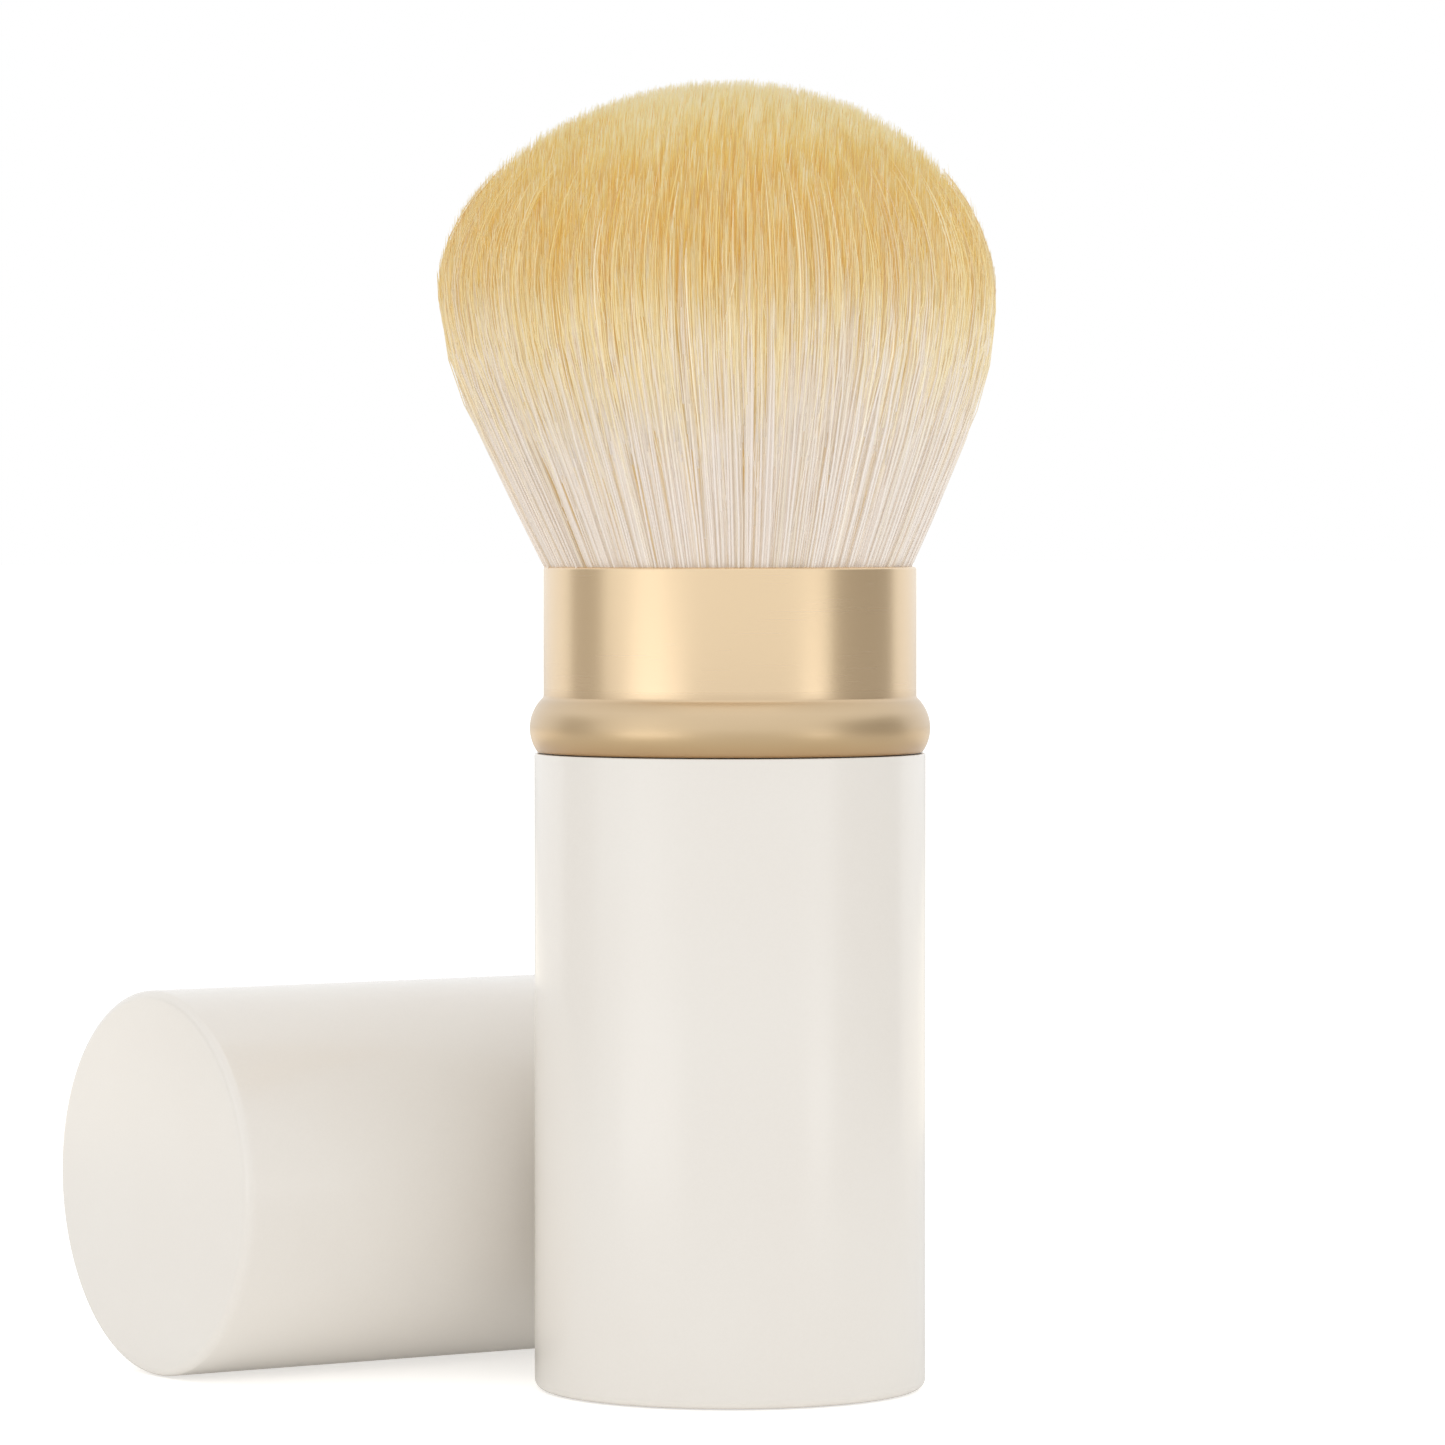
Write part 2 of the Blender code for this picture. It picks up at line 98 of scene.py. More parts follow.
class Nodes:
    def __init__(self, owner):
        owner.use_nodes = True
        self.tree = owner.node_tree
        self.tree.nodes.clear()

    def add(self, kind, settings=None, sockets=None, output=0):
        node = self.tree.nodes.new(kind)
        for name, value in (settings or {}).items():
            if name == "stops":
                self.setStops(node.color_ramp, value)
            else:
                setattr(node, name, value)
        for name, value in (sockets or {}).items():
            if isinstance(value, Wire):
                self.tree.links.new(value.socket, node.inputs[name])
            else:
                node.inputs[name].default_value = value
        return Wire(self, node.outputs[output]) if node.outputs else node

    def setStops(self, ramp, stops):
        while len(ramp.elements) < len(stops):
            ramp.elements.new(1.0)
        for element, (position, color) in zip(ramp.elements, stops):
            element.position = position
            element.color = color

    def math(self, operation, first, second):
        return self.add("ShaderNodeMath", {"operation": operation}, {0: first, 1: second})

    def clamped(self, value):
        return self.add("ShaderNodeClamp", {}, {"Value": value})

    def fade(self, value, start, slope):
        # 0 up to the start and then up to 1, or the other way round where the slope falls
        return self.clamped((value - start) * slope)

    def mixed(self, factor, first, second):
        return self.add("ShaderNodeMix", {"data_type": "RGBA"}, {0: factor, 6: first, 7: second}, 2)

    def ramp(self, value, stops):
        return self.add("ShaderNodeValToRGB", {"stops": stops}, {"Fac": value}, "Color")

    def bump(self, height, strength, depth):
        return self.add("ShaderNodeBump", {}, {"Strength": strength, "Distance": depth, "Height": height})

    def place(self):
        return self.add("ShaderNodeTexCoord", output="Object")

    def noise(self, place, scale, detail=2.0, stretch=(1, 1, 1)):
        stretched = self.add("ShaderNodeMapping", {}, {"Vector": place, "Scale": stretch})
        return self.add(
            "ShaderNodeTexNoise", {}, {"Vector": stretched, "Scale": scale, "Detail": detail}
        )


def paint(red, green, blue):
    # a colour written as on a screen, from 0 to 255, as the linear one that shaders use
    shares = [value / 255 for value in (red, green, blue)]
    return (*[s / 12.92 if s <= 0.04045 else ((s + 0.055) / 1.055) ** 2.4 for s in shares], 1.0)


white = (1, 1, 1, 1)


def newFinish(name):
    material = bpy.data.materials.new(name)
    return material, Nodes(material)


def showShader(nodes, shader):
    nodes.add("ShaderNodeOutputMaterial", {}, {"Surface": shader})


# Camera, set to the photograph's view; pixels are in its 1445 x 1445 frame
cameraSetup = {
    "distance": 0.615,  # from the brush's axis
    "azimuth": -33.8,
    "height": 0.0747,
    "pitch": 1.57,
    "imageSize": 1445,
    "focalPixels": 7079,
    "axisColumn": 730,
    "sensorWidth": 36,
}


def aroundCamera(turn, distance, height):
    # a place at an angle round the brush, counted from the camera, to the right
    angle = math.radians(cameraSetup["azimuth"] + turn)
    return Vector((distance * math.sin(angle), -distance * math.cos(angle), height))


def makeCamera():
    data = bpy.data.cameras.new("camera")
    data.sensor_width = cameraSetup["sensorWidth"]
    data.lens = cameraSetup["focalPixels"] / cameraSetup["imageSize"] * data.sensor_width
    camera = bpy.data.objects.new("camera", data)
    bpy.context.scene.collection.objects.link(camera)
    camera.location = aroundCamera(0, cameraSetup["distance"], cameraSetup["height"])
    aside = cameraSetup["axisColumn"] - cameraSetup["imageSize"] / 2
    camera.rotation_euler = (
        math.radians(90 - cameraSetup["pitch"]),
        0,
        math.radians(cameraSetup["azimuth"]) + math.atan(aside / cameraSetup["focalPixels"]),
    )
    bpy.context.scene.camera = camera


makeCamera()
print("camera placed")


# Studio: a pale floor, a white surround, soft lamps, and dark flags and bright gleams that only
# gloss shows; turns are counted from the camera, to the right
studio = {
    "ambient": 0.83,  # the surround's light on matt surfaces, where white is 1
    "floorReach": 12.0,
    "floorDrop": 0.0001,
    "floorColor": paint(246, 245, 243),
    "floorGlow": 0.22,  # the floor is lit from below too
    "floorLift": 0.45,  # how much white it adds for the camera
    "lamps": {
        "keyStrip": {"turn": -50, "distance": 0.62, "height": 0.20, "size": (0.24, 0.60), "power": 0.08},
        "fillStrip": {"turn": 54, "distance": 0.62, "height": 0.20, "size": (0.16, 0.60), "power": 0.02},
        "topPanel": {"turn": 0, "distance": 0.10, "height": 0.75, "size": (0.60, 0.60), "power": 0.30},
    },
    "cards": {
        "leftFlag": {"turns": (-114, -84), "kind": "flag", "strength": 0.50},
        "rightFlag": {"turns": (64, 118), "kind": "flag", "strength": 0.42},
        "leftGleam": {"turns": (-66, -28), "kind": "gleam", "strength": 2.2},
        "rightGleam": {"turns": (45, 60), "kind": "gleam", "strength": 2.2},
        "leftRim": {"turns": (-165, -108), "kind": "warmGleam", "strength": 1.25},
        "rightRim": {"turns": (120, 165), "kind": "warmGleam", "strength": 1.15},
    },
    "cardKinds": {  # flags stand upright and gleams lie on the floor: (distance, height) of each edge
        "flag": {"foot": (0.50, 0), "head": (0.50, 0.26), "color": (1, 0.95, 0.88, 1)},
        "gleam": {"foot": (0.28, 0.0004), "head": (1.80, 0.0004), "color": white},
        "warmGleam": {"foot": (0.28, 0.0004), "head": (1.80, 0.0004), "color": (1, 0.95, 0.86, 1)},
    },
    "cardSteps": 12,
}


def seenBy(nodes, *rays):
    # 1 for the named kinds of ray and 0 for the rest
    return nodes.clamped(sum(nodes.add("ShaderNodeLightPath", output=f"Is {ray} Ray") for ray in rays))


def makeSurround():
    world = bpy.data.worlds.new("surround")
    bpy.context.scene.world = world
    nodes = Nodes(world)
    ambient = studio["ambient"]
    strength = ambient + (1 - ambient) * seenBy(nodes, "Camera", "Glossy", "Transmission")
    glow = nodes.add("ShaderNodeBackground", {}, {"Color": white, "Strength": strength})
    nodes.add("ShaderNodeOutputWorld", {}, {"Surface": glow})


def stageObject(name, bm, material):
    mesh = bpy.data.meshes.new(name)
    bm.to_mesh(mesh)
    bm.free()
    piece = bpy.data.objects.new(name, mesh)
    bpy.context.scene.collection.objects.link(piece)
    mesh.materials.append(material)
    return piece


def makeFloor():
    material, nodes = newFinish("studioFloor")
    lift = seenBy(nodes, "Camera", "Transmission") * (studio["floorLift"] - studio["floorGlow"])
    lift = lift + (1 - seenBy(nodes, "Glossy")) * studio["floorGlow"]
    matt = nodes.add("ShaderNodeBsdfDiffuse", {}, {"Color": studio["floorColor"]})
    glow = nodes.add("ShaderNodeEmission", {}, {"Color": white, "Strength": lift})
    showShader(nodes, nodes.add("ShaderNodeAddShader", {}, {0: matt, 1: glow}))
    bm = bmesh.new()
    bmesh.ops.create_grid(bm, x_segments=1, y_segments=1, size=studio["floorReach"])
    bmesh.ops.translate(bm, verts=bm.verts[:], vec=(0, 0, -studio["floorDrop"]))
    stageObject("studioFloor", bm, material)


def makeCard(name, card):
    kind = studio["cardKinds"][card["kind"]]
    material, nodes = newFinish(name)
    showShader(nodes, nodes.add(
        "ShaderNodeEmission", {}, {"Color": kind["color"], "Strength": card["strength"]}
    ))
    start, end = card["turns"]
    bm = bmesh.new()
    edge = [bm.verts.new(aroundCamera(start, *kind[side])) for side in ("foot", "head")]
    bmesh.ops.spin(
        bm, geom=[*edge, bm.edges.new(edge)], cent=(0, 0, 0), axis=(0, 0, 1),
        angle=math.radians(end - start), steps=studio["cardSteps"],
    )
    piece = stageObject(name, bm, material)
    piece.visible_camera = False
    piece.visible_diffuse = False
    piece.visible_shadow = False


def makeLamp(name, lamp):
    data = bpy.data.lights.new(name, "AREA")
    data.shape = "RECTANGLE"
    data.size, data.size_y = lamp["size"]
    data.energy = lamp["power"]
    piece = bpy.data.objects.new(name, data)
    bpy.context.scene.collection.objects.link(piece)
    piece.location = aroundCamera(lamp["turn"], lamp["distance"], lamp["height"])
    towards = Vector((0, 0, cadBox[1].z / 2)) - piece.location
    piece.rotation_euler = towards.to_track_quat("-Z", "Y").to_euler()


def makeStudio():
    bpy.context.scene.view_settings.view_transform = "Standard"
    makeSurround()
    makeFloor()
    for name, card in studio["cards"].items():
        makeCard(name, card)
    for name, lamp in studio["lamps"].items():
        makeLamp(name, lamp)


makeStudio()
print("studio lit")


# Finishes
enamelLook = {
    "ground": (paint(239, 233, 225), paint(242, 238, 231)),  # its tone drifts between these
    "driftScale": 60,
    "flakeScale": 5200,
    "flakeColor": paint(250, 246, 240),
    "flakeShare": 0.10,
    "flakeRoughness": 0.08,
    "roughness": 0.30,
    "specular": 0.5,
    "coat": 1.0,
    "coatRoughness": 0.20,
    "peelScale": 900,
    "peelStrength": 0.05,
    "peelDepth": 0.00002,
}


def makeEnamel():
    # pearl white satin enamel: fine flake, a trace of orange peel and slow drifts of tone
    look = enamelLook
    material, nodes = newFinish("pearlEnamel")
    place = nodes.place()
    ground = nodes.mixed(nodes.noise(place, look["driftScale"]), *look["ground"])
    flake = nodes.add(
        "ShaderNodeTexVoronoi", {"feature": "F1"},
        {"Vector": place, "Scale": look["flakeScale"]}, "Color",
    )
    sparkle = nodes.add("ShaderNodeSeparateColor", {}, {"Color": flake}, "Red")
    peel = nodes.noise(place, look["peelScale"])
    showShader(nodes, nodes.add("ShaderNodeBsdfPrincipled", {}, {
        "Base Color": nodes.mixed(sparkle * look["flakeShare"], ground, look["flakeColor"]),
        "Roughness": look["roughness"] + sparkle * look["flakeRoughness"],
        "Specular IOR Level": look["specular"],
        "Coat Weight": look["coat"],
        "Coat Roughness": look["coatRoughness"],
        "Normal": nodes.bump(peel, look["peelStrength"], look["peelDepth"]),
    }))
    return material


goldLook = {
    # painted shade: these tones darken down the bead to its foot and dip in a band at the crease under the
    # neck
    "tones": [  # up the collar, at shares of its height
        (0.00, paint(196, 161, 116)),
        (0.06, paint(202, 173, 130)),
        (0.14, paint(209, 184, 147)),
        (0.22, paint(211, 187, 152)),
        (0.27, paint(203, 178, 142)),
        (0.30, paint(222, 196, 160)),
        (0.34, paint(234, 208, 171)),
        (0.60, paint(236, 210, 172)),
    ],
    "driftScale": 130,
    "driftColor": paint(248, 224, 190),
    "driftShare": 0.10,
    "roughness": 0.26,
    "beadFade": (1 / 3, -12),  # start and slope of the bead's own roughness
    "beadRoughness": 0.12,
    "coat": 0.5,
    "coatRoughness": 0.22,
    "lineScale": 90,
    "lineDetail": 3,
    "lineStretch": (1, 1, 60),
    "lineRoughness": 0.02,
    "lineStrength": 0.02,
    "lineDepth": 0.00001,
}


def makeGold():
    # pale gold anodised metal under clear lacquer, satin, with fine lines round it from the lathe; painted
    # shade darkens the bead towards its foot and in a band at the crease under the neck
    look = goldLook
    material, nodes = newFinish("champagneMetal")
    place = nodes.place()
    lines = nodes.noise(place, look["lineScale"], look["lineDetail"], look["lineStretch"])
    height = nodes.add("ShaderNodeSeparateXYZ", {}, {"Vector": place}, "Z")
    low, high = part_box("collar")
    share = (height - low.z) / (high.z - low.z)
    # painted shade from the tones: the bead darker towards its foot and at the crease
    tone = nodes.ramp(share, look["tones"])
    drift = nodes.noise(place, look["driftScale"])
    ofBead = nodes.fade(share, *look["beadFade"]) * look["beadRoughness"]
    showShader(nodes, nodes.add("ShaderNodeBsdfPrincipled", {}, {
        "Base Color": nodes.mixed(drift * look["driftShare"], tone, look["driftColor"]),
        "Metallic": 1.0,
        "Roughness": look["roughness"] + lines * look["lineRoughness"] + ofBead,
        "Coat Weight": look["coat"],
        "Coat Roughness": look["coatRoughness"],
        "Normal": nodes.bump(lines, look["lineStrength"], look["lineDepth"]),
    }))
    return material


resinLook = {
    "tones": (paint(226, 219, 205), paint(235, 229, 217)),
    "cloudScale": 200,
    "cloudDetail": 3,
    "cloudRoughness": 0.12,
    "roughness": 0.42,
    "grainScale": 2600,
    "grainStrength": 0.15,
    "grainDepth": 0.00003,
}


def makeResin():
    # ivory moulded resin with a soft mould grain
    look = resinLook
    material, nodes = newFinish("ivoryResin")
    place = nodes.place()
    cloud = nodes.noise(place, look["cloudScale"], look["cloudDetail"])
    grain = nodes.noise(place, look["grainScale"])
    showShader(nodes, nodes.add("ShaderNodeBsdfPrincipled", {}, {
        "Base Color": nodes.mixed(cloud, *look["tones"]),
        "Roughness": look["roughness"] + cloud * look["cloudRoughness"],
        "Normal": nodes.bump(grain, look["grainStrength"], look["grainDepth"]),
    }))
    return material


bareMetalLook = {
    "lineScale": 80,
    "lineDetail": 3,
    "lineStretch": (1, 1, 60),
    "lineRoughness": 0.15,
}


def makeBareMetal(name, dark, light, rough):
    # plain metal with fine turning lines
    look = bareMetalLook
    material, nodes = newFinish(name)
    lines = nodes.noise(nodes.place(), look["lineScale"], look["lineDetail"], look["lineStretch"])
    showShader(nodes, nodes.add("ShaderNodeBsdfPrincipled", {}, {
        "Base Color": nodes.mixed(lines, dark, light),
        "Metallic": 1.0,
        "Roughness": rough + lines * look["lineRoughness"],
    }))
    return material


softSolidLook = {
    "cloudDetail": 3,
    "cloudRoughness": 0.15,
}


def makeSoftSolid(name, dark, light, rough, scale):
    # silicone and cured glue: cloudy, with an uneven sheen
    material, nodes = newFinish(name)
    cloud = nodes.noise(nodes.place(), scale, softSolidLook["cloudDetail"])
    showShader(nodes, nodes.add("ShaderNodeBsdfPrincipled", {}, {
        "Base Color": nodes.mixed(cloud, dark, light),
        "Roughness": rough + cloud * softSolidLook["cloudRoughness"],
    }))
    return material


strandLooks = ("tone", "depth", "along")  # attributes of every strand, from 0 to 1
hairLook = {
    "toneReach": 0.44,  # how far a strand's tone moves its dye, as a share of the tuft's height
    "patchReach": 0.28,
    "patchScale": 95,
    "patchStretch": (1, 1, 0.3),
    "dyed": [  # on the tuft's outside, from the rim up
        (0.20, paint(226, 217, 208)),
        (0.36, paint(226, 215, 198)),
        (0.50, paint(226, 211, 174)),
        (0.64, paint(226, 206, 152)),
        (0.82, paint(228, 208, 148)),
        (0.97, paint(229, 219, 182)),
    ],
    # painted shade: the colour of the shaded, more orange hair between strands, further inside the tuft
    "deepShade": [  # further in
        (0.10, paint(220, 209, 192)),
        (0.30, paint(222, 205, 168)),
        (0.50, paint(223, 204, 150)),
        (0.62, paint(222, 197, 128)),
        (0.73, paint(218, 184, 95)),
        (0.88, paint(224, 202, 124)),
        (0.98, paint(230, 220, 172)),
    ],
    # partly strand tone and partly painted shade: dark orange that stands for the shaded gaps between
    # strands
    "gapShade": [  # on the strands of the lowest tone
        (0.10, paint(214, 200, 176)),
        (0.35, paint(211, 182, 130)),
        (0.60, paint(198, 144, 64)),
        (0.95, paint(222, 200, 134)),
    ],
    "deepShadeFade": (0.05, 6),  # the start and slope of each fade
    "paleFade": (0.7, 3),
    "paleShare": 0.6,
    "paleColor": paint(246, 238, 226),
    "gapShadeFade": (0.3, -3),
    "gapShadeShare": 0.7,
    "tipFade": (5 / 6, 6),
    "tipShare": 0.25,
    "tipColor": paint(244, 230, 196),
    "roughness": 0.50,
    "toneRoughness": 0.15,
    "specular": 0.35,
    "glow": 0.28,  # stands for the light that strands pass on to each other
    "glowFade": (0, 2),
    "glowColor": paint(240, 204, 132),
}


def makeHair():
    # soft synthetic hair, dyed: pale root, golden above with a streaky edge, paler again at the tips;
    # deeper in, and on the strands of the lowest tone, it is painted darker and more orange as the shade
    # between strands, and it glows a little as painted light that strands pass on
    look = hairLook
    material, nodes = newFinish("goldenHair")
    place = nodes.place()
    height = nodes.add("ShaderNodeSeparateXYZ", {}, {"Vector": place}, "Z")
    tone, depth, along = [
        nodes.add("ShaderNodeAttribute", {"attribute_name": label}, {}, "Fac") for label in strandLooks
    ]
    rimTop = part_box("collar")[1].z
    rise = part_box("bristles")[1].z - rimTop
    patch = nodes.noise(place, look["patchScale"], stretch=look["patchStretch"])
    share = (height - rimTop) / rise
    share = share + (tone - 0.5) * look["toneReach"] + (patch - 0.5) * look["patchReach"]
    dyed, deepShade, gapShade = [nodes.ramp(share, look[label]) for label in ("dyed", "deepShade", "gapShade")]
    # painted shade: deeper inside the tuft the colour turns darker and more orange
    color = nodes.mixed(nodes.fade(depth, *look["deepShadeFade"]), dyed, deepShade)
    color = nodes.mixed(nodes.fade(tone, *look["paleFade"]) * look["paleShare"], color, look["paleColor"])
    # painted shade of the gaps between strands, on the strands of the lowest tone
    color = nodes.mixed(nodes.fade(tone, *look["gapShadeFade"]) * look["gapShadeShare"], color, gapShade)
    color = nodes.mixed(nodes.fade(along, *look["tipFade"]) * look["tipShare"], color, look["tipColor"])
    showShader(nodes, nodes.add("ShaderNodeBsdfPrincipled", {}, {
        "Base Color": color,
        "Roughness": look["roughness"] + tone * look["toneRoughness"],
        "Specular IOR Level": look["specular"],
        "Emission Color": nodes.mixed(nodes.fade(depth, *look["glowFade"]), color, look["glowColor"]),
        "Emission Strength": look["glow"],
    }))
    return material


finishes = {
    "hair": makeHair(),
    "enamel": makeEnamel(),
    "champagne_metal": makeGold(),
    "resin": makeResin(),
    "aluminium": makeBareMetal("drawnAluminium", paint(205, 205, 207), paint(226, 226, 228), 0.25),
    "steel": makeBareMetal("plainSteel", paint(170, 170, 172), paint(200, 200, 202), 0.30),
    "silicone": makeSoftSolid("greasedSilicone", paint(205, 205, 200), paint(222, 222, 218), 0.40, 300),
    "glue": makeSoftSolid("curedGlue", paint(196, 150, 88), paint(218, 176, 116), 0.22, 260),
}


# Turned shells, finer than the solids that they stand for
turning = {
    "steps": 256,  # round a shell
    "sharpAngle": 35,
    "innerSharpAngle": 32,  # on the pieces that keep their solid's form
    "mergeDistance": 0.000001,
}
roundSteps = {  # along each rounded corner of a shell
    "foot": 6,
    "lip": 4,
    "edge": 12,
    "rim": 6,
    "crease": 8,
    "belly": 28,
    "innerBelly": 12,
}


def addPiece(name, mesh, body, slot, *nodes):
    piece = bpy.data.objects.new(name, mesh)
    bpy.context.scene.collection.objects.link(piece)
    mesh.materials.clear()
    mesh.materials.append(finishes[slot])
    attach(piece, body)
    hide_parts(*nodes)
    return piece


def turnedMesh(name, outline, place=Matrix.Identity(4)):
    # a profile of (radius, height) points, closed where it ends off the axis, spun round the axis
    bm = bmesh.new()
    points = [bm.verts.new((radius, 0, height)) for radius, height in outline]
    ring = points + points[:1] if outline[0][0] > 0 else points
    edges = [bm.edges.new(pair) for pair in zip(ring, ring[1:])]
    bmesh.ops.spin(
        bm, geom=points + edges, cent=(0, 0, 0), axis=(0, 0, 1), angle=math.tau,
        steps=turning["steps"], use_merge=True,
    )
    bmesh.ops.remove_doubles(bm, verts=bm.verts[:], dist=turning["mergeDistance"])
    bmesh.ops.recalc_face_normals(bm, faces=bm.faces[:])
    bmesh.ops.transform(bm, matrix=place, verts=bm.verts[:])
    mesh = bpy.data.meshes.new(name)
    bm.to_mesh(mesh)
    bm.free()
    mesh.shade_smooth()
    mesh.set_sharp_from_angle(angle=math.radians(turning["sharpAngle"]))
    return mesh


def arc(centerRadius, centerHeight, radius, start, end, steps):
    angles = [math.radians(start + (end - start) * i / steps) for i in range(steps + 1)]
    return [(centerRadius + radius * math.cos(a), centerHeight + radius * math.sin(a)) for a in angles]


caseShape = {
    "wall": 0.0005,
    "floor": 0.0006,
    "edgeRound": 0.0008,
    "lipRound": 0.00012,
    "footRound": 0.0004,  # inside corner
}


def cupOutline(radius, length, shape):
    # a drawn cup, from the middle of its floor up the bore, over the lip and down the outside
    bore = radius - shape["wall"]
    lip = shape["lipRound"]
    inner = shape["footRound"]
    edge = shape["edgeRound"]
    return [
        (0, shape["floor"]),
        *arc(bore - inner, shape["floor"] + inner, inner, -90, 0, roundSteps["foot"]),
        *arc(bore + lip, length - lip, lip, 180, 90, roundSteps["lip"]),
        *arc(radius - lip, length - lip, lip, 90, 0, roundSteps["lip"]),
        *arc(radius - edge, edge, edge, 0, -90, roundSteps["edge"]),
        (0, 0),
    ]


def makeHandle():
    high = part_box("handle_shell")[1]
    mesh = turnedMesh("handleShell", cupOutline(high.x, high.z, caseShape))
    addPiece("handleShell", mesh, "handle", "enamel", "handle_shell")


collarShape = {
    "neckRadius": 0.0162,
    "sheet": 0.0005,
    "rimRound": 0.00025,
    "bellyRound": 0.0036,
    "bellyRise": 0.0019,
    "creaseRound": 0.0004,
    "skirt": 0.0002,  # it comes down this much further, to a fine seam above the tube
    "ledge": 0.0005,
    "ledgeBore": 0.01525,
}


def makeCollar():
    shape = collarShape
    low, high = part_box("collar")
    bellyCenter = high.x - shape["bellyRound"]
    creaseCenter = shape["neckRadius"] + shape["creaseRound"]
    across = creaseCenter - bellyCenter
    reach = shape["bellyRound"] + shape["creaseRound"]
    creaseHeight = shape["bellyRise"] + math.sqrt(reach ** 2 - across ** 2)
    turn = math.degrees(math.acos(across / reach))
    foot = -math.degrees(math.asin((shape["bellyRise"] + shape["skirt"]) / shape["bellyRound"]))
    innerBelly = shape["bellyRound"] - shape["sheet"]
    bore = shape["neckRadius"] - shape["sheet"]
    innerFoot = -math.degrees(math.asin((shape["bellyRise"] - shape["ledge"]) / innerBelly))
    innerTop = math.degrees(math.acos((bore - bellyCenter) / innerBelly))
    rim = shape["rimRound"]
    top = high.z - low.z
    steps = roundSteps
    outline = [
        *arc(shape["neckRadius"] - rim, top - rim, rim, 90, 0, steps["rim"]),
        *arc(creaseCenter, creaseHeight, shape["creaseRound"], 180, 180 + turn, steps["crease"]),
        *arc(bellyCenter, shape["bellyRise"], shape["bellyRound"], turn, foot, steps["belly"])[1:],
        (shape["ledgeBore"], -shape["skirt"]),
        (shape["ledgeBore"], shape["ledge"]),
        *arc(bellyCenter, shape["bellyRise"], innerBelly, innerFoot, innerTop, steps["innerBelly"]),
        (bore, top),
    ]
    mesh = turnedMesh("collarShell", outline, Matrix.Translation((0, 0, low.z)))
    addPiece("collarShell", mesh, "collar", "champagne_metal", "collar")


linerShape = {
    "wall": 0.0008,
    "floor": 0.0008,
    "edgeRound": 0.0008,
    "lipRound": 0.0002,
    "footRound": 0.0006,
}


def makeCap():
    # both pieces are turned mouth up, then laid over with the mouth towards +X
    for name, node, slot, shape in (
        ("capShell", "cap_shell", "enamel", caseShape),
        ("capLiner", "cap_liner", "resin", linerShape),
    ):
        low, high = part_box(node)
        middle = (low + high) / 2
        laid = Matrix.Translation((low.x, middle.y, middle.z)) @ Matrix.Rotation(math.pi / 2, 4, "Y")
        outline = cupOutline((high.z - low.z) / 2, high.x - low.x, shape)
        addPiece(name, turnedMesh(name, outline, laid), "cap", slot, node)


def makeInnerPiece(node, name, body, slot):
    # a twist-up piece keeps its solid's form: the copy's corners are merged and its walls shaded round
    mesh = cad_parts[node].data.copy()
    mesh.name = name
    bm = bmesh.new()
    bm.from_mesh(mesh)
    bmesh.ops.remove_doubles(bm, verts=bm.verts[:], dist=turning["mergeDistance"])
    bm.to_mesh(mesh)
    bm.free()
    mesh.shade_smooth()
    mesh.set_sharp_from_angle(angle=math.radians(turning["innerSharpAngle"]))
    addPiece(name, mesh, body, slot, node)


innerPieces = [
    ("spiral_tube", "spiralTube", "handle", "resin"),
    ("handle_plug", "handlePlug", "handle", "resin"),
    ("handle_weight", "handleWeight", "handle", "steel"),
    ("guide_tube", "guideTube", "collar", "resin"),
    ("retaining_ring", "retainingRing", "collar", "steel"),
    ("drag_ring", "dragRing", "collar", "silicone"),
    ("carrier", "carrierCup", "head", "resin"),
    ("ferrule", "ferruleCup", "head", "aluminium"),
    ("glue_plug", "gluePlug", "head", "glue"),
]

makeHandle()
makeCollar()
makeCap()
for innerPiece in innerPieces:
    makeInnerPiece(*innerPiece)
print("tubes turned")


# Tuft: strands that fan out from the ferrule and stand up at the shoulder, in sectors
tuftShape = {
    "flare": 0.46,
    "rimRadius": 0.0155,  # where it leaves the neck
    "bendRise": 0.012,  # the flank is straight up to here above the neck's rim
    "bendLength": 0.014,  # and upright this much higher
    "waistRise": 0.0229,  # foot of the dome above the rim
    "overhang": 0.00016,  # the dome is wider than the flank by this
    "rootDrop": 0.0125,  # root below the rim
    "sectors": 16,
    "gather": 0.53,
    "lean": (-0.00098, 0.00065, 0),  # how far its waist leans aside, as hair that was in use does
    "trim": 0.0003,  # tips end lower by this
    "middleRadius": 0.001,  # keeps the turn of a tip small near the axis
    "leastShare": 0.01,  # keeps the depth finite at the waist's middle
    "seed": 11,
}
coreShape = {
    "share": 0.88,
    "inset": 0.0075,
    "flankSteps": 8,
    "domeSteps": 10,
    "turnSteps": 4,
    # at this depth the core takes the painted shade colour of the deep strands and their painted glow
    "look": 0.5,  # its tone, depth and place along
}
